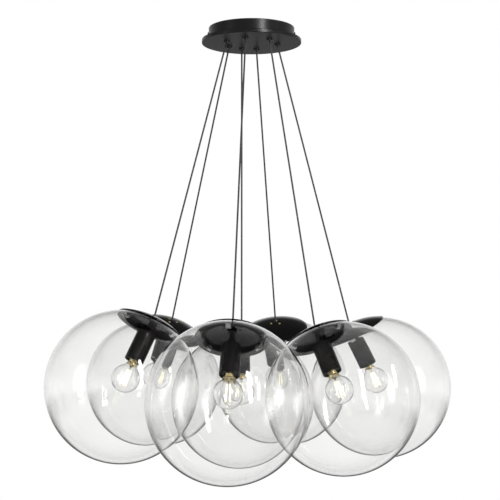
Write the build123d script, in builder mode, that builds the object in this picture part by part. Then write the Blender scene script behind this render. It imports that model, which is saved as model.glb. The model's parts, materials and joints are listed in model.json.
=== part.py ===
"""Cluster pendant: seven clear glass globes, each hung on its own cord from one round canopy.

Millimetres, +Z up, -Y to the front. The origin is on the ceiling, midway between the two
screw slots. A pendant's pieces are drawn upright about its globe's centre, then placed.
"""
from build123d import *

import math
import os

os.makedirs("parts", exist_ok=True)

# ---- canopy ----
TIER_R = 75.0            # upper tier, against the ceiling
TIER_H = 20.5
TIER_WALL = 1.5
TIER_LIP = 8.0           # flanges that turn inwards at its top and foot
PLATE_R = 87.0           # wide lower plate
PLATE_H = 6.5
PLATE_SKIN = 1.6
CANOPY_EDGE_R = 0.8      # rounded outer edges

# ---- ceiling bracket and what it carries ----
BRACKET_W = 24.0
BRACKET_T = 2.0
BRACKET_PLAY = 0.3       # from its corners to the tier's lip
EAR_H = 15.0
SLOT_SPACING = 60.0
SLOT_LENGTH = 14.0
SLOT_R = 2.75
SCREW_R = 2.0            # side screws, through the tier into the ears
SCREW_PLAY = 0.25
SCREW_HEAD_R = 3.4
SCREW_HEAD_H = 1.8
SCREW_STAND_IN = 1.5     # thread showing inside the ear
BLOCK_L = 32.0           # terminal block
BLOCK_W = 17.0
BLOCK_H = 12.0
BLOCK_PITCH = 10.0
BLOCK_HOLE_R = 2.1
BLOCK_WAYS = 3

# ---- cords, and the bushes by which they leave the canopy ----
CORD_R = 1.5
EXIT_RING_R = 46.0
BUSH_FLANGE_R = 5.4
BUSH_FLANGE_H = 2.4
BUSH_SLEEVE_R = 3.6
BUSH_SLEEVE_H = 8.0
BUSH_PLAY = 0.2
BUSH_BORE_R = 2.2        # the cord turns here when its pendant swings
BUSH_MOUTH_R = 4.6
NUT_ACROSS = 11.0
NUT_H = 3.5
CORD_END_GAP = 0.5       # from the cord's end to the grip's tip

# ---- globe ----
GLOBE_R = 125.0
GLASS_WALL = 1.8
MOUTH_R = 50.0           # ground edge round the opening
GLOBE_GAP = 0.8          # least gap from one globe to the next

# ---- lid ----
LID_R = 58.0
LID_T = 1.6
LID_LIFT = 0.4           # from the globe's skin to the lid's underside
LID_BEAD_R = 0.95        # rolled rim
LID_HOLE_R = 4.5
COLLAR_T = 1.5           # ring under the lid that drops into the globe's mouth
COLLAR_DROP = 5.0
COLLAR_PLAY = 0.4

# ---- lampholder and cord grip ----
HOLDER_R = 16.0
HOLDER_L = 53.0
HOLDER_WALL = 2.2
HOLDER_EDGE_R = 1.2
SKIRT_L = 2.5            # open foot below the socket
SOCKET_PLAY = 0.3
WIRE_HOLE_R = 2.0
GRIP_L = 28.0            # from the lampholder's shoulder to the tip above the lid
GRIP_FOOT_R = 8.5        # cone between lampholder and lid
GRIP_CONE_L = 15.0
GRIP_PLAY = 0.3
GRIP_PROUD = 1.0         # tip above the lid
REST_R = 7.5             # shoulder of the grip, on which the lid hangs
REST_H = 3.0
REST_GAP = 0.3

# ---- lamp ----
BULB_R = 23.5
BULB_WALL = 0.9
BULB_DROP = 31.5         # from the lampholder's foot to the middle of the bulb
BULB_NECK_R = 9.5
BULB_SHOULDER = 58.0     # where the round gives way to the neck, in degrees above level
CAP_R = 7.0              # screw cap
CAP_L = 23.0
CAP_SHOWS = 7.0          # cap standing out below the lampholder's foot
CAP_RIM_H = 1.6          # flange of the cap, against the bulb
CAP_TIP_R = 3.0
CAP_TIP_L = 2.4
STEM_R = 2.6             # glass stem that carries the filaments
STEM_L = 17.0

# ---- where each pendant hangs ----
LEAN = 28.0              # the outer pendants lean out at the foot
MIDDLE_BEARING = 112.1   # the middle cord hangs plumb from this point of the exit ring
MIDDLE_DROP = 648.5      # from the ceiling to the middle globe's centre
# The globes nest in a loose ring round the middle one. For each: bearing and distance from
# the middle globe, its rise above it (both in globe pitches), and its cord's exit bearing.
OUTER = {
    "left": (222.9, 1.056, 0.092, 200.0),
    "front": (266.9, 1.433, -0.007, 257.0),
    "front_right": (311.1, 1.000, 0.016, 312.0),
    "right": (11.1, 0.996, 0.088, 10.0),
    "back": (74.0, 1.065, 0.128, 79.0),
    "back_left": (132.1, 0.992, 0.128, 149.0),
}

# ---- what follows from the sizes above ----
PITCH = 2 * GLOBE_R + GLOBE_GAP
CANOPY_H = TIER_H + PLATE_H
TIER_IN_R = TIER_R - TIER_LIP
GLASS_IN_R = GLOBE_R - GLASS_WALL
MOUTH_Z = math.sqrt(GLOBE_R**2 - MOUTH_R**2)
MOUTH_IN_R = math.sqrt(GLASS_IN_R**2 - MOUTH_Z**2)
LID_IN_R = GLOBE_R + LID_LIFT
LID_OUT_R = LID_IN_R + LID_T
COLLAR_R = MOUTH_IN_R - COLLAR_PLAY
GRIP_R = LID_HOLE_R - GRIP_PLAY
GRIP_TOP = LID_OUT_R + GRIP_PROUD
HOLDER_TOP = GRIP_TOP - GRIP_L
HOLDER_FOOT = HOLDER_TOP - HOLDER_L
SOCKET_R = CAP_R + SOCKET_PLAY
CAP_FOOT = HOLDER_FOOT - CAP_SHOWS
CAP_TOP = CAP_FOOT + CAP_L
SOCKET_TOP = CAP_TOP + CAP_TIP_L + SOCKET_PLAY
BULB_Z = HOLDER_FOOT - BULB_DROP
BRACKET_REACH = math.sqrt(TIER_IN_R**2 - (BRACKET_W / 2)**2) - BRACKET_PLAY
SCREW_L = TIER_R - BRACKET_REACH + BRACKET_T + SCREW_STAND_IN
SCREW_Z = -TIER_H / 2


def around(bearing, radius, height=0.0):
    """Point at a bearing from +X and a distance from the upright axis."""
    angle = math.radians(bearing)
    return Vector(radius * math.cos(angle), radius * math.sin(angle), height)


def on_sphere(radius, out):
    """Section point (out, up) of a sphere about the origin."""
    return (out, math.sqrt(radius**2 - out**2))


def on_bulb(radius, degrees):
    """Section point (out, up) of the bulb's round part."""
    angle = math.radians(degrees)
    return (radius * math.cos(angle), BULB_Z + radius * math.sin(angle))


def save(piece, name):
    """Label a finished piece and write it."""
    piece.part.label = name
    export_step(piece.part, f"parts/{name}.step")


# ---- pendant places: origin at the globe's centre, local Z up through the lid ----
middle = around(MIDDLE_BEARING, EXIT_RING_R, -MIDDLE_DROP)
places = {"middle": Plane(middle)}
exits = {"middle": around(MIDDLE_BEARING, EXIT_RING_R, -CANOPY_H)}
for name, (bearing, distance, rise, exit_bearing) in OUTER.items():
    centre = middle + around(bearing, distance * PITCH, rise * PITCH)
    outward = Vector(centre.X, centre.Y).normalized()
    lean = math.radians(LEAN)
    up_axis = Vector(0, 0, math.cos(lean)) - outward * math.sin(lean)
    places[name] = Plane(centre, x_dir=up_axis.cross(outward), z_dir=up_axis)
    exits[name] = around(exit_bearing, EXIT_RING_R, -CANOPY_H)


# ---------------------------------------------------------------- canopy
with BuildPart() as tier:
    with BuildSketch(Plane.XZ):
        with Locations((TIER_R, 0)):
            Rectangle(TIER_LIP, TIER_H, align=(Align.MAX, Align.MAX))
        with Locations((TIER_R - TIER_WALL, -TIER_WALL)):
            Rectangle(TIER_LIP, TIER_H - 2 * TIER_WALL, align=(Align.MAX, Align.MAX),
                      mode=Mode.SUBTRACT)
    revolve(axis=Axis.Z)
    rims = tier.edges().filter_by(GeomType.CIRCLE).group_by(SortBy.RADIUS)[-1]
    fillet(rims.sort_by(Axis.Z)[-1], CANOPY_EDGE_R)
    with BuildSketch(Plane.YZ.offset(-TIER_R)):
        with Locations((0, SCREW_Z)):
            Circle(SCREW_R + SCREW_PLAY)
    extrude(amount=2 * TIER_R, mode=Mode.SUBTRACT)
save(tier, "canopy_tier")

with BuildPart() as plate:
    with BuildSketch(Plane.XZ):
        with Locations((0, -TIER_H)):
            Rectangle(PLATE_R, PLATE_H, align=(Align.MIN, Align.MAX))
            Rectangle(TIER_IN_R, PLATE_H - PLATE_SKIN, align=(Align.MIN, Align.MAX),
                      mode=Mode.SUBTRACT)
        with Locations((0, -TIER_H - PLATE_SKIN)):
            Rectangle(PLATE_R - PLATE_SKIN, PLATE_H - 2 * PLATE_SKIN,
                      align=(Align.MIN, Align.MAX), mode=Mode.SUBTRACT)
    revolve(axis=Axis.Z)
    fillet(plate.edges().filter_by(GeomType.CIRCLE).group_by(SortBy.RADIUS)[-1], CANOPY_EDGE_R)
    with BuildSketch(Plane.XY.offset(-CANOPY_H)):
        with Locations([(spot.X, spot.Y) for spot in exits.values()]):
            Circle(BUSH_SLEEVE_R + BUSH_PLAY)
    extrude(amount=PLATE_SKIN, mode=Mode.SUBTRACT)
save(plate, "canopy_plate")

with BuildPart() as bush:
    with BuildSketch(Plane.XZ):
        with Locations((0, -BUSH_FLANGE_H)):
            Rectangle(BUSH_FLANGE_R, BUSH_FLANGE_H, align=Align.MIN)
        Rectangle(BUSH_SLEEVE_R, BUSH_SLEEVE_H, align=Align.MIN)
        Rectangle(BUSH_BORE_R, BUSH_SLEEVE_H, align=Align.MIN, mode=Mode.SUBTRACT)
        with BuildLine():
            Polyline((0, 0), (BUSH_BORE_R, 0), (BUSH_MOUTH_R, -BUSH_FLANGE_H),
                     (0, -BUSH_FLANGE_H), close=True)
        make_face(mode=Mode.SUBTRACT)
    revolve(axis=Axis.Z)

with BuildPart() as cord_bushes:
    with Locations([Location(spot) for spot in exits.values()]):
        add(bush.part)
save(cord_bushes, "cord_bushes")

with BuildPart() as bush_nuts:
    with BuildSketch(Plane.XY.offset(PLATE_SKIN - CANOPY_H)):
        with Locations([(spot.X, spot.Y) for spot in exits.values()]):
            RegularPolygon(NUT_ACROSS / 2, 6, major_radius=False)
            Circle(BUSH_SLEEVE_R + BUSH_PLAY, mode=Mode.SUBTRACT)
    extrude(amount=NUT_H)
save(bush_nuts, "bush_nuts")

with BuildPart() as bracket:
    with BuildSketch(Plane.XZ.offset(-BRACKET_W / 2)):
        Rectangle(2 * BRACKET_REACH, EAR_H, align=(Align.CENTER, Align.MAX))
        with Locations((0, -BRACKET_T)):
            Rectangle(2 * (BRACKET_REACH - BRACKET_T), EAR_H, align=(Align.CENTER, Align.MAX),
                      mode=Mode.SUBTRACT)
    extrude(amount=BRACKET_W)
    with BuildSketch(Plane.XY):
        with GridLocations(SLOT_SPACING, 0, 2, 1):
            SlotOverall(SLOT_LENGTH, 2 * SLOT_R)
    extrude(amount=-BRACKET_T, mode=Mode.SUBTRACT)
    with BuildSketch(Plane.YZ.offset(-TIER_R)):
        with Locations((0, SCREW_Z)):
            Circle(SCREW_R + SCREW_PLAY)
    extrude(amount=2 * TIER_R, mode=Mode.SUBTRACT)
save(bracket, "ceiling_bracket")

with BuildPart() as side_screws:
    with BuildSketch(Plane.YZ.offset(TIER_R - SCREW_L)):
        with Locations((0, SCREW_Z)):
            Circle(SCREW_R)
    extrude(amount=SCREW_L)
    with BuildSketch(Plane.YZ.offset(TIER_R)):
        with Locations((0, SCREW_Z)):
            Circle(SCREW_HEAD_R)
    extrude(amount=SCREW_HEAD_H, taper=20)
    mirror(about=Plane.YZ)
save(side_screws, "canopy_screws")

with BuildPart() as block:
    with BuildSketch(Plane.XY.offset(-BRACKET_T)):
        Rectangle(BLOCK_L, BLOCK_W)
    extrude(amount=-BLOCK_H)
    with BuildSketch(Plane.XZ.offset(-BLOCK_W / 2)):
        with Locations((0, -BRACKET_T - BLOCK_H / 2)):
            with GridLocations(BLOCK_PITCH, 0, BLOCK_WAYS, 1):
                Circle(BLOCK_HOLE_R)
    extrude(amount=BLOCK_W, mode=Mode.SUBTRACT)
save(block, "terminal_block")


# ---------------------------------------------------------------- one pendant, drawn upright
with BuildPart() as globe:
    with BuildSketch(Plane.XZ):
        with BuildLine():
            ThreePointArc((0, -GLOBE_R), (GLOBE_R, 0), (MOUTH_R, MOUTH_Z))
            Line((MOUTH_R, MOUTH_Z), (MOUTH_IN_R, MOUTH_Z))
            ThreePointArc((MOUTH_IN_R, MOUTH_Z), (GLASS_IN_R, 0), (0, -GLASS_IN_R))
            Line((0, -GLASS_IN_R), (0, -GLOBE_R))
        make_face()
    revolve(axis=Axis.Z)

with BuildPart() as lid:
    with BuildSketch(Plane.XZ):
        with BuildLine():
            ThreePointArc(on_sphere(LID_OUT_R, LID_HOLE_R), on_sphere(LID_OUT_R, LID_R / 2),
                          on_sphere(LID_OUT_R, LID_R))
            Line(on_sphere(LID_OUT_R, LID_R), on_sphere(LID_IN_R, LID_R))
            ThreePointArc(on_sphere(LID_IN_R, LID_R), on_sphere(LID_IN_R, LID_R / 2),
                          on_sphere(LID_IN_R, LID_HOLE_R))
            Line(on_sphere(LID_IN_R, LID_HOLE_R), on_sphere(LID_OUT_R, LID_HOLE_R))
        make_face()
        with Locations(on_sphere(LID_IN_R + LID_T / 2, LID_R)):
            Circle(LID_BEAD_R)
        with Locations((COLLAR_R, MOUTH_Z - COLLAR_DROP)):
            Rectangle(COLLAR_T, on_sphere(LID_IN_R, COLLAR_R)[1] - MOUTH_Z + COLLAR_DROP + LID_T / 2,
                      align=(Align.MAX, Align.MIN))
    revolve(axis=Axis.Z)

with BuildPart() as grip:
    with BuildSketch(Plane.XZ):
        with BuildLine():
            Polyline((0, HOLDER_TOP), (GRIP_FOOT_R, HOLDER_TOP), (GRIP_R, HOLDER_TOP + GRIP_CONE_L),
                     (GRIP_R, GRIP_TOP), (0, GRIP_TOP), close=True)
        make_face()
        with Locations((0, on_sphere(LID_IN_R, REST_R)[1] - REST_GAP)):
            Rectangle(REST_R, REST_H, align=(Align.MIN, Align.MAX))
    revolve(axis=Axis.Z)
    tip = grip.edges().filter_by(GeomType.CIRCLE).sort_by(Axis.Z)[-1]
    fillet(tip, GRIP_PROUD / 2)

with BuildPart() as holder:
    with BuildSketch(Plane.XZ):
        with Locations((0, HOLDER_FOOT)):
            Rectangle(HOLDER_R, HOLDER_L, align=Align.MIN)
            Rectangle(HOLDER_R - HOLDER_WALL, SKIRT_L, align=Align.MIN, mode=Mode.SUBTRACT)
            Rectangle(SOCKET_R, SOCKET_TOP - HOLDER_FOOT, align=Align.MIN, mode=Mode.SUBTRACT)
            Rectangle(WIRE_HOLE_R, HOLDER_L, align=Align.MIN, mode=Mode.SUBTRACT)
    revolve(axis=Axis.Z)
    shoulder = holder.edges().filter_by(GeomType.CIRCLE).group_by(SortBy.RADIUS)[-1]
    fillet(shoulder.sort_by(Axis.Z)[-1], HOLDER_EDGE_R)

with BuildPart() as bulb:
    with BuildSketch(Plane.XZ):
        with BuildLine():
            outer = on_bulb(BULB_R, BULB_SHOULDER)
            inner = on_bulb(BULB_R - BULB_WALL, BULB_SHOULDER)
            neck_in_r = BULB_NECK_R - BULB_WALL
            ThreePointArc((0, BULB_Z - BULB_R), (BULB_R, BULB_Z), outer)
            Polyline(outer, (BULB_NECK_R, CAP_FOOT), (neck_in_r, CAP_FOOT), inner)
            ThreePointArc(inner, (BULB_R - BULB_WALL, BULB_Z), (0, BULB_Z - BULB_R + BULB_WALL))
            Line((0, BULB_Z - BULB_R + BULB_WALL), (0, BULB_Z - BULB_R))
        make_face()
    revolve(axis=Axis.Z)

with BuildPart() as cap:
    with BuildSketch(Plane.XZ):
        with Locations((0, CAP_FOOT)):
            Rectangle(CAP_R, CAP_L, align=Align.MIN)
            Rectangle(BULB_NECK_R, CAP_RIM_H, align=Align.MIN)
        with Locations((0, CAP_TOP)):
            Rectangle(CAP_TIP_R, CAP_TIP_L, align=Align.MIN)
        with Locations((0, CAP_FOOT)):
            Rectangle(STEM_R, STEM_L, align=(Align.MIN, Align.MAX))
    revolve(axis=Axis.Z)


# ---------------------------------------------------------------- the seven pendants
forms = {"globe": globe, "lid": lid, "cord_grip": grip, "lampholder": holder,
         "bulb": bulb, "lamp_cap": cap}
for where, place in places.items():
    for what, form in forms.items():
        with BuildPart() as piece:
            with Locations(place.location):
                add(form.part)
        save(piece, f"{what}_{where}")

    grip_tip = place.origin + place.z_dir * GRIP_TOP
    run = grip_tip - exits[where]
    cord_plane = Plane(exits[where], z_dir=run)
    with BuildPart() as cord:
        with BuildSketch(cord_plane):
            Circle(CORD_R)
        extrude(amount=run.length - CORD_END_GAP)
        with Locations(cord_plane.location):
            Sphere(CORD_R)
    save(cord, f"cord_{where}")
    print(f"cord {where}: {run.length:.1f} mm")
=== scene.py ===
"""Cluster pendant: the smooth glass, enamel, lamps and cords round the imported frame.

Seven clear globes hang from one canopy. Every pendant is turned on a lathe about its own
axis: the pieces are drawn upright about the globe's centre and placed as the frame says.
"""
import json
import math

import bmesh
import bpy
from mathutils import Matrix, Vector

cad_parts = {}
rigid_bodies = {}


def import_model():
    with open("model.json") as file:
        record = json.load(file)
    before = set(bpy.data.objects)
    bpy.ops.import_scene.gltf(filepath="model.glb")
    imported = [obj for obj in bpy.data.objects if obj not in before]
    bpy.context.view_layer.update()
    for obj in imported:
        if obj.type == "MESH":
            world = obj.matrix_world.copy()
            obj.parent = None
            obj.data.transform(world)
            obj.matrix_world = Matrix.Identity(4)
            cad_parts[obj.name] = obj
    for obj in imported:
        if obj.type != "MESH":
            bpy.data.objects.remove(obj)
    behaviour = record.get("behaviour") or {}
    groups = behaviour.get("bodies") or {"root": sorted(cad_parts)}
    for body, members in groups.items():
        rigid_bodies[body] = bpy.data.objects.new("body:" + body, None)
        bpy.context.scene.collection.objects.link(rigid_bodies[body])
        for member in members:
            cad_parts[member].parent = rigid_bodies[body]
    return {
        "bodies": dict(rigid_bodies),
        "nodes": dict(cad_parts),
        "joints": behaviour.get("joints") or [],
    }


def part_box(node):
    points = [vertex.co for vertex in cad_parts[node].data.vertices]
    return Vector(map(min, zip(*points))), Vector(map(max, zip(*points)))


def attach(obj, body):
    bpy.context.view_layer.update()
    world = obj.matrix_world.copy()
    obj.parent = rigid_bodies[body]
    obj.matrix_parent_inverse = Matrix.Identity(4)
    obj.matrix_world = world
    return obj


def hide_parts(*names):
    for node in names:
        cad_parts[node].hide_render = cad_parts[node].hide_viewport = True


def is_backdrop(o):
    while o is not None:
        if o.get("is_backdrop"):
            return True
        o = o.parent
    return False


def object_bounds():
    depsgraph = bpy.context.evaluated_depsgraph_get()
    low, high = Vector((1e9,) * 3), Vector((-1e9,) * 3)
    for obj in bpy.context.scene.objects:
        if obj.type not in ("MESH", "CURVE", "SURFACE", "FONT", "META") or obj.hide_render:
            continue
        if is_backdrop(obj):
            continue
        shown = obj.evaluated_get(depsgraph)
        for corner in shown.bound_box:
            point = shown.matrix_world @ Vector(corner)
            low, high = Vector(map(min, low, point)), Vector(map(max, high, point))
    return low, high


bl_info = {
    "name": "Cluster Pendant",
    "version": (1, 0, 0),
    "blender": (4, 5, 0),
    "location": "View3D > Sidebar > Pendant",
    "description": "Glass globes, lids, lamps and cords of a cluster pendant",
    "category": "Add Mesh",
}

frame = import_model()
CAD_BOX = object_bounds()
MM = 0.001
ON_AXIS = 1e-6           # nearer than this, a section point makes a pole
FASTENERS = 3            # clips and screws to a lid
FIRST_BEARING = 30.0     # of the first one, in degrees
RING_PLAY = 0.3 * MM     # round the grip in the lid, and round the cap in its socket
SEAL_H = 1.6 * MM        # flange between the lamp's glass and its cap
WIRE_R = 0.22 * MM
PENDANTS = sorted(b.removeprefix("pendant_") for b in frame["bodies"] if b != "canopy")
EXITS = {j["child"].removeprefix("pendant_"): Vector(j["pos_m"]) for j in frame["joints"]}


def length(name, default, description):
    """A length property in metres, given in millimetres."""
    return bpy.props.FloatProperty(
        name=name, description=description, default=default * MM, min=0.0,
        unit="LENGTH", precision=4)


def colour(name, default, description):
    """A colour property."""
    return bpy.props.FloatVectorProperty(
        name=name, description=description, default=default, subtype="COLOR", size=3,
        min=0.0, max=1.0)


class PendantSizes(bpy.types.PropertyGroup):
    """Sizes of one pendant, measured from its globe's centre."""
    globe_r: length("Globe radius", 125.0, "Outside of the glass")
    glass_wall: length("Glass wall", 1.8, "Thickness of the globe")
    mouth_r: length("Mouth radius", 50.0, "Rim of the opening under the lid")
    lid_r: length("Lid radius", 58.0, "Out to the middle of the rolled rim")
    lid_lift: length("Lid lift", 0.4, "From the globe's skin to the lid")
    lid_t: length("Lid thickness", 1.6, "Sheet of the lid")
    lid_bead_r: length("Lid bead", 0.95, "Half the thickness of the rolled rim")
    grip_foot_r: length("Grip foot", 8.5, "Cone of the cord grip, where it meets the holder")
    grip_r: length("Grip stem", 4.2, "Stem of the cord grip in the lid's hole")
    grip_proud: length("Grip proud", 1.0, "Stem standing above the lid")
    cone_l: length("Cone length", 15.0, "Cone of the cord grip")
    holder_r: length("Holder radius", 16.0, "Outside of the lampholder")
    holder_l: length("Holder length", 53.0, "Shoulder to foot")
    holder_top: length("Holder top", 100.0, "Shoulder above the globe's centre")
    bulb_r: length("Bulb radius", 23.5, "Round of the lamp")
    bulb_drop: length("Bulb drop", 31.5, "Holder's foot to the middle of the bulb")
    neck_r: length("Bulb neck", 9.5, "Glass where it meets the cap")
    cap_r: length("Cap radius", 7.0, "Screw cap")
    cap_shows: length("Cap shows", 7.0, "Cap below the holder's foot")
    cord_r: length("Cord radius", 1.5, "Textile cord")
    lean: bpy.props.FloatProperty(
        name="Lean", description="Outer pendants lean out at the foot", subtype="ANGLE",
        default=math.radians(28.0))


class PendantColours(bpy.types.PropertyGroup):
    """Colours of the finishes."""
    canopy: colour("Canopy", (0.006, 0.006, 0.006), "Satin black powder coat")
    lid: colour("Lid", (0.003, 0.003, 0.003), "Gloss black enamel")
    holder: colour("Holder", (0.008, 0.007, 0.007), "Satin black lampholder")
    cord: colour("Cord", (0.014, 0.014, 0.014), "Black textile sleeve")
    brass: colour("Cap", (0.92, 0.71, 0.38), "Brass screw cap")
    glow: colour("Filament", (1.0, 0.93, 0.66), "Lit filament")
    steel: colour("Steel", (0.62, 0.63, 0.64), "Zinc-plated bracket")
    nylon: colour("Nylon", (0.78, 0.78, 0.75), "White terminal block")
    floor: colour("Floor", (0.86, 0.86, 0.86), "Pale studio floor")


# ---------------------------------------------------------------- places and meshes
def place_of(name):
    """A pendant's place: origin at its globe's centre, local Z up through the lid."""
    sizes = bpy.context.scene.pendant_sizes
    low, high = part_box("globe_" + name)
    centre = Vector(((low.x + high.x) / 2, (low.y + high.y) / 2, low.z + sizes.globe_r))
    if name == "middle":
        return Matrix.Translation(centre)
    outward = Vector((centre.x, centre.y, 0)).normalized()
    up_axis = Vector((0, 0, math.cos(sizes.lean))) - outward * math.sin(sizes.lean)
    across = up_axis.cross(outward).normalized()
    turn = Matrix((across, up_axis.cross(across), up_axis)).transposed()
    return Matrix.Translation(centre) @ turn.to_4x4()


def arc(out, up, radius, start, end, steps):
    """Section points (out, up) round a centre, between two angles above the level line."""
    angles = [math.radians(start + (end - start) * i / steps) for i in range(steps + 1)]
    return [(out + radius * math.cos(a), up + radius * math.sin(a)) for a in angles]


def above_level(radius, out):
    """Angle in degrees at which a sphere's section is that far from the axis."""
    return math.degrees(math.acos(out / radius))


def lathe(name, section, steps=96, closed=False):
    """Mesh object of a section turned about local Z. Points on the axis make a pole."""
    mesh = bpy.data.meshes.new(name)
    shape = bmesh.new()
    rings = []
    for out, up in section:
        if out < ON_AXIS:
            rings.append([shape.verts.new((0, 0, up))])
            continue
        turns = [math.tau * i / steps for i in range(steps)]
        rings.append([shape.verts.new((out * math.cos(t), out * math.sin(t), up))
                      for t in turns])
    pairs = list(zip(rings, rings[1:]))
    if closed:
        pairs.append((rings[-1], rings[0]))
    for a, b in pairs:
        for i in range(steps):
            j = (i + 1) % steps
            corners = [a[i % len(a)], a[j % len(a)], b[j % len(b)], b[i % len(b)]]
            distinct = list(dict.fromkeys(corners))
            if len(distinct) > 2:
                shape.faces.new(distinct)
    bmesh.ops.recalc_face_normals(shape, faces=shape.faces)
    shape.to_mesh(mesh)
    shape.free()
    mesh.shade_smooth()
    mesh.set_sharp_from_angle(angle=math.radians(40))
    return put(name, mesh)


def put(name, data):
    """Object of some data, linked to the scene."""
    thing = bpy.data.objects.new(name, data)
    bpy.context.scene.collection.objects.link(thing)
    return thing


def merge(thing, others):
    """Join other objects' meshes into one object."""
    shape = bmesh.new()
    shape.from_mesh(thing.data)
    for other in others:
        copy = other.data.copy()
        copy.transform(other.matrix_basis)
        shape.from_mesh(copy)
        bpy.data.meshes.remove(copy)
        bpy.data.objects.remove(other)
    shape.to_mesh(thing.data)
    shape.free()
    return thing


def mount(thing, name, material, place, node=None):
    """Place a piece on its pendant, with its finish, in the stead of a CAD node."""
    thing.data.materials.clear()
    thing.data.materials.append(material)
    thing.data.transform(place.to_3x3().to_4x4())
    thing.location = place.translation
    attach(thing, "pendant_" + name)
    if node:
        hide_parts(node)
    return thing


# ---------------------------------------------------------------- finishes
def finish(name, base, metallic=0.0, roughness=0.4, **sockets):
    """A material with its shader and an object-space texture coordinate."""
    material = bpy.data.materials.new(name)
    material.use_nodes = True
    nodes = material.node_tree.nodes
    shader = nodes["Principled BSDF"]
    shader.inputs["Base Color"].default_value = (*base, 1)
    shader.inputs["Metallic"].default_value = metallic
    shader.inputs["Roughness"].default_value = roughness
    for socket, value in sockets.items():
        shader.inputs[socket.replace("_", " ")].default_value = value
    coords = nodes.new("ShaderNodeTexCoord")
    return material, shader, coords


def link(material, source, target):
    """Join two sockets of a material."""
    material.node_tree.links.new(source, target)


def grain(material, coords, scale, detail=4.0, stretch=(1, 1, 1)):
    """Noise in object space, stretched along the axes."""
    nodes = material.node_tree.nodes
    mapping = nodes.new("ShaderNodeMapping")
    mapping.inputs["Scale"].default_value = stretch
    cloud = nodes.new("ShaderNodeTexNoise")
    cloud.inputs["Scale"].default_value = scale
    cloud.inputs["Detail"].default_value = detail
    link(material, coords.outputs["Object"], mapping.inputs["Vector"])
    link(material, mapping.outputs["Vector"], cloud.inputs["Vector"])
    return cloud.outputs["Fac"]


def spread(material, source, low, high):
    """Map a 0 to 1 value to a range."""
    ranged = material.node_tree.nodes.new("ShaderNodeMapRange")
    ranged.inputs["To Min"].default_value = low
    ranged.inputs["To Max"].default_value = high
    link(material, source, ranged.inputs["Value"])
    return ranged.outputs["Result"]


def tint(material, source, dark, light):
    """Two shades of a colour, mixed by a 0 to 1 value."""
    mixed = material.node_tree.nodes.new("ShaderNodeMix")
    mixed.data_type = "RGBA"
    mixed.inputs[6].default_value = (*dark, 1)
    mixed.inputs[7].default_value = (*light, 1)
    link(material, source, mixed.inputs[0])
    return mixed.outputs[2]


def bump(material, shader, height, strength, distance):
    """Relief from a height value."""
    relief = material.node_tree.nodes.new("ShaderNodeBump")
    relief.inputs["Strength"].default_value = strength
    relief.inputs["Distance"].default_value = distance
    link(material, height, relief.inputs["Height"])
    link(material, relief.outputs["Normal"], shader.inputs["Normal"])


def shades(base, spread_by):
    """A darker and a lighter shade of a colour."""
    return [tuple(min(1.0, c * k) for c in base) for k in (1 - spread_by, 1 + spread_by)]


def powder_coat(name, base, low, high):
    """Satin black coat: fine orange peel and uneven gloss."""
    material, shader, coords = finish(name, base, IOR=1.22)
    patches = grain(material, coords, 14.0)
    link(material, tint(material, patches, *shades(base, 0.25)), shader.inputs["Base Color"])
    link(material, spread(material, patches, low, high), shader.inputs["Roughness"])
    bump(material, shader, grain(material, coords, 900.0, 2.0), 0.12, 0.0002)
    return material


def gloss_enamel(name, base):
    """Gloss black enamel with a slow ripple."""
    material, shader, coords = finish(name, base, IOR=1.34)
    ripple = grain(material, coords, 22.0, 2.0)
    link(material, tint(material, ripple, *shades(base, 0.2)), shader.inputs["Base Color"])
    link(material, spread(material, ripple, 0.06, 0.13), shader.inputs["Roughness"])
    bump(material, shader, ripple, 0.05, 0.001)
    return material


def blown_glass(name, tone, painted_edge_shade, waviness):
    """Clear glass with the faint unevenness of blowing, and painted shade that greys its
    colour where it is seen edge on.
    """
    material, shader, coords = finish(name, tone, roughness=0.0, Transmission_Weight=1.0,
                                      IOR=1.45)
    nodes = material.node_tree.nodes
    waves = grain(material, coords, 9.0, 1.0, (1, 1, 0.5))
    paler = tuple(min(1.0, c * 1.01) for c in tone)
    # Painted shade: the colour darkens towards the edge tone as the surface turns edge on,
    # standing in for the dark outline of the glass.
    rim = nodes.new("ShaderNodeLayerWeight")
    steep = nodes.new("ShaderNodeMath")
    steep.operation = "POWER"
    steep.inputs[1].default_value = 4.0
    link(material, rim.outputs["Facing"], steep.inputs[0])
    edge = nodes.new("ShaderNodeMix")
    edge.data_type = "RGBA"
    edge.inputs[7].default_value = (*painted_edge_shade, 1)
    link(material, steep.outputs[0], edge.inputs[0])
    link(material, tint(material, waves, tone, paler), edge.inputs[6])
    link(material, edge.outputs[2], shader.inputs["Base Color"])
    bump(material, shader, waves, waviness, 0.002)
    return material


def brass_cap(name, base):
    """Plated cap, a little dull and marked."""
    material, shader, coords = finish(name, base, metallic=1.0)
    marks = grain(material, coords, 260.0, 6.0, (1, 1, 3))
    link(material, tint(material, marks, *shades(base, 0.22)), shader.inputs["Base Color"])
    link(material, spread(material, marks, 0.16, 0.38), shader.inputs["Roughness"])
    return material


def zinc(name, base):
    """Zinc-plated steel, brushed along its length."""
    material, shader, coords = finish(name, base, metallic=1.0)
    brushed = grain(material, coords, 120.0, 5.0, (0.2, 6, 6))
    link(material, tint(material, brushed, *shades(base, 0.15)), shader.inputs["Base Color"])
    link(material, spread(material, brushed, 0.28, 0.5), shader.inputs["Roughness"])
    return material


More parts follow.
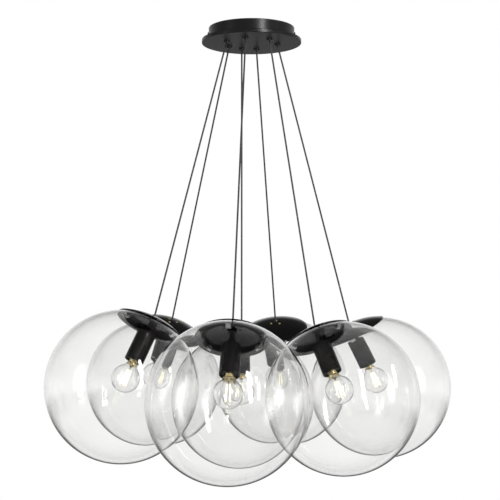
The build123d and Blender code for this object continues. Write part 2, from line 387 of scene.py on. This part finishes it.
def textile(name, base):
    """Fine braided sleeve: two crossing waves along the cord."""
    material, shader, coords = finish(name, base, roughness=0.6, Sheen_Weight=0.1)
    nodes = material.node_tree.nodes
    heights = []
    for lean in (1.0, -1.0):
        mapping = nodes.new("ShaderNodeMapping")
        mapping.inputs["Rotation"].default_value = (0.6 * lean, 0.6, 0.0)
        wave = nodes.new("ShaderNodeTexWave")
        wave.inputs["Scale"].default_value = 420.0
        wave.inputs["Distortion"].default_value = 0.4
        link(material, coords.outputs["Object"], mapping.inputs["Vector"])
        link(material, mapping.outputs["Vector"], wave.inputs["Vector"])
        heights.append(wave.outputs["Fac"])
    over = nodes.new("ShaderNodeMath")
    over.operation = "MAXIMUM"
    link(material, heights[0], over.inputs[0])
    link(material, heights[1], over.inputs[1])
    link(material, tint(material, over.outputs[0], *shades(base, 0.2)),
         shader.inputs["Base Color"])
    bump(material, shader, over.outputs[0], 0.25, 0.0002)
    return material


def moulding(name, base):
    """Moulded plastic with a soft, slightly mottled face."""
    material, shader, coords = finish(name, base)
    mottle = grain(material, coords, 160.0, 3.0)
    link(material, tint(material, mottle, *shades(base, 0.06)), shader.inputs["Base Color"])
    link(material, spread(material, mottle, 0.35, 0.5), shader.inputs["Roughness"])
    bump(material, shader, mottle, 0.08, 0.0003)
    return material


def lit_filament(name, base):
    """Coated filament, brighter where its chips sit."""
    material, shader, coords = finish(name, base, roughness=0.5)
    chips = grain(material, coords, 700.0, 1.0)
    link(material, tint(material, chips, *shades(base, 0.12)), shader.inputs["Base Color"])
    link(material, tint(material, chips, *shades(base, 0.1)), shader.inputs["Emission Color"])
    shader.inputs["Emission Strength"].default_value = 1.6
    return material


def finishes():
    """Every finish by name, made once."""
    tones = bpy.context.scene.pendant_colours
    makers = {
        "canopy black": lambda n: powder_coat(n, tones.canopy, 0.26, 0.34),
        "holder black": lambda n: powder_coat(n, tones.holder, 0.22, 0.32),
        "lid enamel": lambda n: gloss_enamel(n, tones.lid),
        # The second colour of each glass is painted shade for its edge-on outline.
        "globe glass": lambda n: blown_glass(n, (0.99, 0.99, 0.987), (0.68, 0.68, 0.67), 0.03),
        "lamp glass": lambda n: blown_glass(n, (0.985, 0.985, 0.98), (0.62, 0.62, 0.6), 0.02),
        "brass cap": lambda n: brass_cap(n, tones.brass),
        "zinc": lambda n: zinc(n, tones.steel),
        "cord sleeve": lambda n: textile(n, tones.cord),
        "block nylon": lambda n: moulding(n, tones.nylon),
        "bush nylon": lambda n: moulding(n, tones.canopy),
        "filament": lambda n: lit_filament(n, tones.glow),
    }
    return {n: bpy.data.materials.get(n) or make(n) for n, make in makers.items()}


# ---------------------------------------------------------------- pieces of a pendant
def globe_section(s):
    """Closed section of the blown globe, with a ground and rounded mouth."""
    inside = s.globe_r - s.glass_wall
    rim_up = math.sqrt(s.globe_r**2 - s.mouth_r**2)
    rim_in = math.sqrt(inside**2 - rim_up**2)
    half = (s.mouth_r - rim_in) / 2
    outer = arc(0, 0, s.globe_r, -90, above_level(s.globe_r, s.mouth_r), 60)
    inner = arc(0, 0, inside, above_level(inside, rim_in), -90, 60)
    crown = arc(s.mouth_r - half, rim_up, half, 60, 120, 4)
    soft = [(out, rim_up + (up - rim_up) * 0.25) for out, up in crown]
    return outer + soft + inner


def lid_section(s):
    """Closed section of the dished lid: sheet, rolled rim and the collar in the mouth."""
    under = s.globe_r + s.lid_lift
    over = under + s.lid_t
    middle = under + s.lid_t / 2
    hole = s.grip_r + RING_PLAY
    rim = above_level(middle, s.lid_r)
    bead_at = arc(0, 0, middle, rim, rim, 1)[0]
    bead = arc(bead_at[0], bead_at[1], s.lid_bead_r, rim + 80, rim - 80, 14)
    edge = s.lid_r - 1.2 * MM
    top = arc(0, 0, over, above_level(over, hole), above_level(over, edge), 30)
    low = arc(0, 0, under, above_level(under, edge), above_level(under, hole), 30)
    return top + bead + low


def collar_section(s):
    """Closed section of the ring under the lid, inside the globe's mouth."""
    rim_up = math.sqrt(s.globe_r**2 - s.mouth_r**2)
    rim_in = math.sqrt((s.globe_r - s.glass_wall)**2 - rim_up**2)
    out = rim_in - 0.4 * MM
    top = math.sqrt((s.globe_r + s.lid_lift)**2 - out**2) + s.lid_t / 2
    foot = rim_up - 5.0 * MM
    wall = 1.5 * MM
    return [(out, foot), (out, top), (out - wall, top), (out - wall, foot)]


def grip_section(s):
    """Cord grip: cone, the shoulder that carries the lid, stem and rounded tip."""
    under = s.globe_r + s.lid_lift
    tip = under + s.lid_t + s.grip_proud
    rest_r = 7.5 * MM
    rest_top = math.sqrt(under**2 - rest_r**2) - 0.3 * MM
    rest_foot = rest_top - 3.0 * MM
    cone_top = s.holder_top + s.cone_l
    edge = 0.5 * MM
    return [(0, s.holder_top), (s.grip_foot_r, s.holder_top),
            (s.grip_foot_r, s.holder_top + 1.2 * MM), (s.grip_r, cone_top),
            (s.grip_r, rest_foot), (rest_r - edge, rest_foot), (rest_r, rest_foot + edge),
            (rest_r, rest_top - edge), (rest_r - edge, rest_top), (s.grip_r, rest_top),
            (s.grip_r, tip - edge), (s.grip_r - edge, tip), (s.cord_r * 1.1, tip),
            (s.cord_r * 1.1, tip - 0.4 * MM), (0, tip - 0.4 * MM)]


def holder_section(s):
    """Lampholder: rounded shoulder, plain barrel, rolled foot and the socket inside."""
    foot = s.holder_top - s.holder_l
    bend = 2.0 * MM
    rim = 0.6 * MM
    wall = 2.2 * MM
    skirt = 2.5 * MM
    throat = s.cap_r + RING_PLAY
    depth = 19.0 * MM
    return ([(0, s.holder_top)]
            + arc(s.holder_r - bend, s.holder_top - bend, bend, 90, 0, 8)
            + arc(s.holder_r - rim, foot + rim, rim, 0, -90, 5)
            + arc(s.holder_r - wall + rim, foot + rim, rim, -90, -180, 4)
            + [(s.holder_r - wall, foot + skirt), (throat + rim, foot + skirt),
               (throat, foot + skirt + rim), (throat, foot + depth), (0, foot + depth)])


def bulb_section(s):
    """Closed section of the round lamp glass, with its neck and the tip of the seal."""
    wall = 0.7 * MM
    foot = s.holder_top - s.holder_l
    mid = foot - s.bulb_drop
    neck_foot = foot - s.cap_shows
    shoulder = 55.0
    outer = arc(0, mid, s.bulb_r, -90, shoulder, 36)
    inner = arc(0, mid, s.bulb_r - wall, shoulder, -90, 36)
    flare_r, flare_up = s.neck_r + 0.8 * MM, neck_foot - SEAL_H
    neck = [(flare_r, flare_up), (s.neck_r, neck_foot), (s.neck_r - wall, neck_foot),
            (flare_r - wall, flare_up)]
    return outer + neck + inner


def cap_section(s):
    """Screw cap with its rolled thread, flange and solder tip."""
    foot = s.holder_top - s.holder_l - s.cap_shows
    turns = 7
    pitch = 2.6 * MM
    depth = 0.45 * MM
    start = foot + 2.4 * MM
    thread = [(s.cap_r - depth * (0.5 - 0.5 * math.cos(math.tau * i / 6)),
               start + pitch * i / 6) for i in range(turns * 6 + 1)]
    top = thread[-1][1]
    return ([(0, foot), (s.neck_r, foot), (s.neck_r, foot + SEAL_H),
             (s.cap_r, foot + 2.0 * MM)] + thread
            + [(4.0 * MM, top + 1.0 * MM), (3.0 * MM, top + 1.6 * MM), (0, top + 2.0 * MM)])


class Pendant:
    """What every pendant operator needs."""
    bl_options = {"REGISTER", "UNDO"}

    def execute(self, context):
        self.sizes = context.scene.pendant_sizes
        self.kit = finishes()
        for name in PENDANTS:
            self.make(name, place_of(name))
        return {"FINISHED"}


class PENDANT_OT_globes(Pendant, bpy.types.Operator):
    """Blow the clear globes"""
    bl_idname = "pendant.globes"
    bl_label = "Globes"

    def make(self, name, place):
        globe = lathe("clear_globe_" + name, globe_section(self.sizes), 128)
        mount(globe, name, self.kit["globe glass"], place, "globe_" + name)


class PENDANT_OT_lids(Pendant, bpy.types.Operator):
    """Press the dished lids, with the collar and the three clips that hold the glass"""
    bl_idname = "pendant.lids"
    bl_label = "Lids"

    def make(self, name, place):
        s = self.sizes
        lid = lathe("dished_lid_" + name, lid_section(s), 112, closed=True)
        collar = lathe("collar_" + name, collar_section(s), 96, closed=True)
        merge(lid, [collar])
        mount(lid, name, self.kit["lid enamel"], place, "lid_" + name)
        groups = (("glass_clips_", spring_clip, "zinc", "zinc_steel"),
                  ("lid_screws_", lid_screw, "brass cap", "cap_brass"))
        for label, form, material, slot in groups:
            pieces = [form(f"{label}{i}_{name}", s, bearing)
                      for i, bearing in enumerate(fastener_bearings())]
            group = merge(pieces[0], pieces[1:])
            group.name = label + name
            mount(group, name, self.kit[material], place)


def fastener_bearings():
    """Where the clips and screws sit round a lid, evenly spaced."""
    return [math.radians(FIRST_BEARING + 360 * i / FASTENERS) for i in range(FASTENERS)]


def lid_screw(name, s, bearing):
    """Domed screw head on the lid, beside the cord grip."""
    out, head_r = 9.0 * MM, 2.2 * MM
    seat = math.sqrt((s.globe_r + s.lid_lift + s.lid_t)**2 - out**2)
    dome = arc(0, -head_r * 0.5, head_r * 1.25, 37, 90, 6)
    head = lathe(name, [(0, -0.6 * MM), (head_r, -0.6 * MM)] + dome, 24)
    shift = Matrix.Translation((out * math.cos(bearing), out * math.sin(bearing), seat))
    head.data.transform(shift)
    return head


def spring_clip(name, s, bearing):
    """Bent strip that hooks the globe's mouth from inside the collar."""
    rim_up = math.sqrt(s.globe_r**2 - s.mouth_r**2)
    half, thick = 4.0 * MM, 0.7 * MM
    out = s.mouth_r - 7.4 * MM
    line = [(out, rim_up - 1 * MM), (out, rim_up - 8 * MM), (out + 1 * MM, rim_up - 9.6 * MM),
            (out + 3 * MM, rim_up - 10 * MM), (out + 7 * MM, rim_up - 6.4 * MM),
            (out + 8.6 * MM, rim_up - 4.2 * MM)]
    inner = [(r - thick, z - thick * 0.4) for r, z in line]
    mesh = bpy.data.meshes.new(name)
    shape = bmesh.new()
    ends = [[shape.verts.new((r, side, z)) for r, z in line + inner[::-1]]
            for side in (-half, half)]
    count = len(ends[0])
    for i in range(count):
        j = (i + 1) % count
        shape.faces.new((ends[0][i], ends[0][j], ends[1][j], ends[1][i]))
    for i in range(len(line) - 1):
        j = count - 2 - i
        for end in ends:
            shape.faces.new((end[i], end[i + 1], end[j], end[j + 1]))
    bmesh.ops.recalc_face_normals(shape, faces=shape.faces)
    bmesh.ops.rotate(shape, verts=shape.verts, matrix=Matrix.Rotation(bearing, 3, "Z"))
    shape.to_mesh(mesh)
    shape.free()
    return put(name, mesh)


class PENDANT_OT_holders(Pendant, bpy.types.Operator):
    """Turn the lampholders and the cord grips above them"""
    bl_idname = "pendant.holders"
    bl_label = "Lampholders"

    def make(self, name, place):
        holder = lathe("barrel_" + name, holder_section(self.sizes), 72)
        mount(holder, name, self.kit["holder black"], place,
              "lampholder_" + name)
        grip = lathe("grip_" + name, grip_section(self.sizes), 48)
        mount(grip, name, self.kit["holder black"], place,
              "cord_grip_" + name)


class PENDANT_OT_lamps(Pendant, bpy.types.Operator):
    """Make the lamps: glass, screw cap, stem and lit filaments"""
    bl_idname = "pendant.lamps"
    bl_label = "Lamps"

    def make(self, name, place):
        s = self.sizes
        bulb = lathe("lamp_glass_" + name, bulb_section(s), 72)
        mount(bulb, name, self.kit["lamp glass"], place, "bulb_" + name)
        cap = lathe("screw_cap_" + name, cap_section(s), 48)
        mount(cap, name, self.kit["brass cap"], place, "lamp_cap_" + name)
        foot = s.holder_top - s.holder_l - s.cap_shows
        mid = s.holder_top - s.holder_l - s.bulb_drop
        stem = lathe("stem_" + name,
                     [(0, foot), (4.2 * MM, foot), (3.4 * MM, foot - 2 * MM),
                      (1.4 * MM, foot - 5 * MM), (1.1 * MM, foot - 8 * MM),
                      (0, foot - 8.5 * MM)], 32)
        mount(stem, name, self.kit["lamp glass"], place)
        sticks = []
        wires = []
        count, stick_r, top_out, foot_out = 4, 0.8 * MM, 3.2 * MM, 5.4 * MM
        top_up, foot_up = foot - 9 * MM, mid - 12 * MM
        head, tail = Vector((top_out, 0, top_up)), Vector((foot_out, 0, foot_up))
        hook = Vector((0, 0, foot_up - 2.5 * MM))
        root = Vector((0, 0, foot - 7 * MM))
        for i in range(count):
            turn = Matrix.Rotation(math.tau * (i + 0.5) / count, 4, "Z")
            sticks.append(rod(f"stick_{i}_{name}", turn @ head, turn @ tail, stick_r, 12))
            wires.append(rod(f"wire_{i}_{name}", turn @ tail, hook, WIRE_R, 6))
            wires.append(rod(f"lead_{i}_{name}", turn @ head, root, WIRE_R, 6))
        filament = merge(sticks[0], sticks[1:])
        filament.name = "filaments_" + name
        mount(filament, name, self.kit["filament"], place)
        hooks = merge(wires[0], wires[1:])
        hooks.name = "filament_wires_" + name
        mount(hooks, name, self.kit["brass cap"], place)


def rod(name, start, end, radius, steps):
    """Round-ended rod between two points."""
    run = end - start
    body = ([(0, 0)] + arc(0, radius, radius, -60, 0, 3)
            + arc(0, run.length - radius, radius, 0, 60, 3) + [(0, run.length)])
    thing = lathe(name, body, steps)
    turn = run.to_track_quat("Z", "Y").to_matrix().to_4x4()
    thing.data.transform(Matrix.Translation(start) @ turn)
    return thing


class PENDANT_OT_cords(Pendant, bpy.types.Operator):
    """Draw the taut cords from the canopy to the grips"""
    bl_idname = "pendant.cords"
    bl_label = "Cords"

    def make(self, name, place):
        s = self.sizes
        start = EXITS[name]
        tip_up = s.globe_r + s.lid_lift + s.lid_t + s.grip_proud
        tip = place @ Vector((0, 0, tip_up))
        run = tip - start
        end = tip - run.normalized() * 0.5 * MM
        route = [start.lerp(end, share) for share in (0.0, 0.25, 0.5, 0.75, 1.0)]
        curve = bpy.data.curves.new("cord_line_" + name, "CURVE")
        curve.dimensions = "3D"
        curve.bevel_depth = s.cord_r
        curve.bevel_resolution = 4
        curve.use_fill_caps = True
        line = curve.splines.new("NURBS")
        line.points.add(len(route) - 1)
        for point, spot in zip(line.points, route):
            point.co = (*spot, 1)
        line.use_endpoint_u = True
        line.order_u = 3
        cord = put("suspension_cord_" + name, curve)
        curve.materials.append(self.kit["cord sleeve"])
        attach(cord, "pendant_" + name)
        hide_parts("cord_" + name)


class PENDANT_OT_canopy(bpy.types.Operator):
    """Finish the canopy's own parts"""
    bl_idname = "pendant.canopy"
    bl_label = "Canopy"
    bl_options = {"REGISTER", "UNDO"}

    def execute(self, context):
        kit = finishes()
        chosen = {
            "canopy_tier": "canopy black", "canopy_plate": "canopy black",
            "canopy_screws": "canopy black", "cord_bushes": "bush nylon", "bush_nuts": "zinc",
            "ceiling_bracket": "zinc", "terminal_block": "block nylon",
        }
        for node, material in chosen.items():
            thing = frame["nodes"][node]
            thing.data.materials.clear()
            thing.data.materials.append(kit[material])
            thing.data.shade_smooth()
            thing.data.set_sharp_from_angle(angle=math.radians(30))
        return {"FINISHED"}


# ---------------------------------------------------------------- stage
def soften(lamp):
    """Let an area lamp fade towards its edges, as cloth over a lamp does."""
    lamp.use_nodes = True
    tree = lamp.node_tree
    emission = tree.nodes["Emission"]
    place = tree.nodes.new("ShaderNodeNewGeometry")
    split = tree.nodes.new("ShaderNodeSeparateXYZ")
    tree.links.new(place.outputs["Parametric"], split.inputs[0])
    faded = []
    for axis in ("X", "Y"):
        other = tree.nodes.new("ShaderNodeMath")
        other.operation = "PINGPONG"
        other.inputs[1].default_value = 0.5
        fade = tree.nodes.new("ShaderNodeMapRange")
        fade.interpolation_type = "SMOOTHSTEP"
        fade.inputs["From Max"].default_value = 0.5
        fade.inputs["To Max"].default_value = 2.0
        tree.links.new(split.outputs[axis], other.inputs[0])
        tree.links.new(other.outputs[0], fade.inputs["Value"])
        faded.append(fade.outputs["Result"])
    both = tree.nodes.new("ShaderNodeMath")
    both.operation = "MULTIPLY"
    tree.links.new(faded[0], both.inputs[0])
    tree.links.new(faded[1], both.inputs[1])
    tree.links.new(both.outputs[0], emission.inputs["Strength"])


def softbox(name, spot, target, width, height, watts):
    """Rectangular lamp that faces a point."""
    lamp = bpy.data.lights.new(name, "AREA")
    lamp.shape = "RECTANGLE"
    lamp.size = width
    lamp.size_y = height
    lamp.energy = watts
    soften(lamp)
    thing = put(name, lamp)
    thing.location = spot
    facing = Vector(target) - Vector(spot)
    thing.rotation_euler = facing.to_track_quat("-Z", "Y").to_euler()


def studio_world():
    """White to the camera and through glass. Reflections see the white backdrop behind the
    cluster at eye level, the pale ground below, and the dimmer studio round them."""
    world = bpy.data.worlds.new("studio")
    bpy.context.scene.world = world
    world.use_nodes = True
    tree = world.node_tree
    nodes, links = tree.nodes, tree.links
    nodes.clear()

    def math_node(operation, *sources):
        node = nodes.new("ShaderNodeMath")
        node.operation = operation
        for socket, source in zip(node.inputs, sources):
            if isinstance(source, (int, float)):
                socket.default_value = source
            else:
                links.new(source, socket)
        return node.outputs[0]

    def ranged(source, start, end, low, high):
        node = nodes.new("ShaderNodeMapRange")
        node.interpolation_type = "SMOOTHSTEP"
        for socket, value in zip(node.inputs[1:5], (start, end, low, high)):
            socket.default_value = value
        links.new(source, node.inputs[0])
        return node.outputs["Result"]

    rays = nodes.new("ShaderNodeLightPath")
    coords = nodes.new("ShaderNodeTexCoord")
    split = nodes.new("ShaderNodeSeparateXYZ")
    links.new(coords.outputs["Generated"], split.inputs[0])
    behind = ranged(split.outputs["Y"], -0.1, 0.75, 0.6, 0.95)
    dim_foot = ranged(split.outputs["Z"], -0.2, -0.04, 0.08, 1.0)
    pale_ground = ranged(split.outputs["Z"], -0.5, -0.28, 1.0, 0.0)
    below = math_node("MAXIMUM", dim_foot, pale_ground)
    above = ranged(split.outputs["Z"], 0.2, 0.65, 1.0, 0.08)
    reflected = math_node("MULTIPLY", math_node("MULTIPLY", behind, below), above)
    scattered = math_node("GREATER_THAN", rays.outputs["Diffuse Depth"], 0.5)
    mirrored = math_node("GREATER_THAN", rays.outputs["Glossy Depth"], 0.5)
    through = math_node("SUBTRACT", 1.0, math_node("MAXIMUM", scattered, mirrored))
    sheen = math_node("MULTIPLY", math_node("MULTIPLY", mirrored, reflected),
                      math_node("SUBTRACT", 1.0, scattered))
    around = math_node("ADD", sheen, math_node("MULTIPLY", scattered, 0.8))
    backdrop = nodes.new("ShaderNodeBackground")
    backdrop.inputs["Color"].default_value = (1, 1, 1, 1)
    links.new(math_node("ADD", around, through), backdrop.inputs["Strength"])
    output = nodes.new("ShaderNodeOutputWorld")
    links.new(backdrop.outputs[0], output.inputs["Surface"])


def floor_material(base, clear_from, clear_to):
    """Pale painted floor that fades into the white backdrop towards its edge."""
    material, shader, coords = finish("studio floor", base, roughness=0.8)
    tree = material.node_tree
    patches = grain(material, coords, 3.0)
    link(material, tint(material, patches, *shades(base, 0.01)), shader.inputs["Base Color"])
    reach = tree.nodes.new("ShaderNodeVectorMath")
    reach.operation = "LENGTH"
    link(material, coords.outputs["Object"], reach.inputs[0])
    fade = tree.nodes.new("ShaderNodeMapRange")
    fade.interpolation_type = "SMOOTHSTEP"
    fade.inputs["From Min"].default_value = clear_from
    fade.inputs["From Max"].default_value = clear_to
    link(material, reach.outputs["Value"], fade.inputs["Value"])
    clear = tree.nodes.new("ShaderNodeBsdfTransparent")
    mixed = tree.nodes.new("ShaderNodeMixShader")
    link(material, fade.outputs["Result"], mixed.inputs[0])
    link(material, shader.outputs[0], mixed.inputs[1])
    link(material, clear.outputs[0], mixed.inputs[2])
    link(material, mixed.outputs[0], tree.nodes["Material Output"].inputs["Surface"])
    return material


class PENDANT_OT_stage(bpy.types.Operator):
    """Set the floor, lamps, world and camera"""
    bl_idname = "pendant.stage"
    bl_label = "Stage"
    bl_options = {"REGISTER", "UNDO"}

    def execute(self, context):
        scene = context.scene
        floor_drop, floor_half, floor_solid_r = 3.6, 4.0, 0.8
        mesh = bpy.data.meshes.new("floor")
        square = [(-floor_half, -floor_half), (floor_half, -floor_half),
                  (floor_half, floor_half), (-floor_half, floor_half)]
        mesh.from_pydata([(x, y, 0) for x, y in square], [], [(0, 1, 2, 3)])
        floor_tone = scene.pendant_colours.floor
        mesh.materials.append(floor_material(floor_tone, floor_solid_r, floor_half))
        floor = put("floor", mesh)
        floor.location.z = -floor_drop
        floor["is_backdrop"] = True

        studio_world()
        cluster = (0, 0, -0.62)
        softbox("strip front right", (1.15, -2.2, 0.0), cluster, 0.3, 1.5, 30)
        softbox("strip on canopy", (0.94, -1.77, 0.46), (0, 0, -0.02), 0.22, 0.9, 30)
        softbox("window left", (-2.2, -1.3, -0.2), cluster, 1.1, 1.9, 10)
        softbox("window right", (2.3, -0.9, -0.2), cluster, 0.9, 1.9, 7)

        camera = bpy.data.cameras.new("camera")
        camera.sensor_width = 36.0
        focal_px, frame_px = 1511.3, 500.0
        camera.lens = focal_px * camera.sensor_width / frame_px
        distance, height, aside, pitch = 2.6, -0.6306, -0.0027, math.radians(5.29)
        eye = put("camera", camera)
        eye.location = (aside, -distance, height)
        eye.rotation_euler = (math.radians(90) + pitch, 0, 0)
        scene.camera = eye

        scene.view_settings.view_transform = "Standard"
        bounces = 32             # enough for a ray through seven globes and their lamps
        scene.cycles.max_bounces = bounces
        scene.cycles.transmission_bounces = bounces
        scene.cycles.transparent_max_bounces = bounces
        return {"FINISHED"}


class PENDANT_PT_panel(bpy.types.Panel):
    """Cluster pendant panel"""
    bl_idname = "PENDANT_PT_panel"
    bl_label = "Cluster Pendant"
    bl_space_type = "VIEW_3D"
    bl_region_type = "UI"
    bl_category = "Pendant"

    def draw(self, context):
        for operator in OPERATORS:
            self.layout.operator(operator.bl_idname)
        for group in (context.scene.pendant_sizes, context.scene.pendant_colours):
            for prop in group.bl_rna.properties.keys():
                if prop not in {"rna_type", "name"}:
                    self.layout.prop(group, prop)


OPERATORS = (PENDANT_OT_stage, PENDANT_OT_canopy, PENDANT_OT_cords, PENDANT_OT_globes,
             PENDANT_OT_lids, PENDANT_OT_holders, PENDANT_OT_lamps)
CLASSES = (PendantSizes, PendantColours, *OPERATORS, PENDANT_PT_panel)


def register():
    """Add the properties, operators and panel."""
    for cls in CLASSES:
        bpy.utils.register_class(cls)
    bpy.types.Scene.pendant_sizes = bpy.props.PointerProperty(type=PendantSizes)
    bpy.types.Scene.pendant_colours = bpy.props.PointerProperty(type=PendantColours)


def unregister():
    """Take them out again, in the other order."""
    del bpy.types.Scene.pendant_colours
    del bpy.types.Scene.pendant_sizes
    for cls in reversed(CLASSES):
        bpy.utils.unregister_class(cls)


def corners(box):
    """A box's two corners as plain lists."""
    return [[float(value) for value in corner] for corner in box]


def main():
    """Build the pendant and its stage."""
    register()
    bpy.ops.pendant.stage()
    bpy.ops.pendant.canopy()
    bpy.ops.pendant.cords()
    bpy.ops.pendant.globes()
    bpy.ops.pendant.lids()
    bpy.ops.pendant.holders()
    bpy.ops.pendant.lamps()
    {"cad": corners(CAD_BOX), "visual": corners(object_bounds())}


if __name__ == "__main__":
    main()
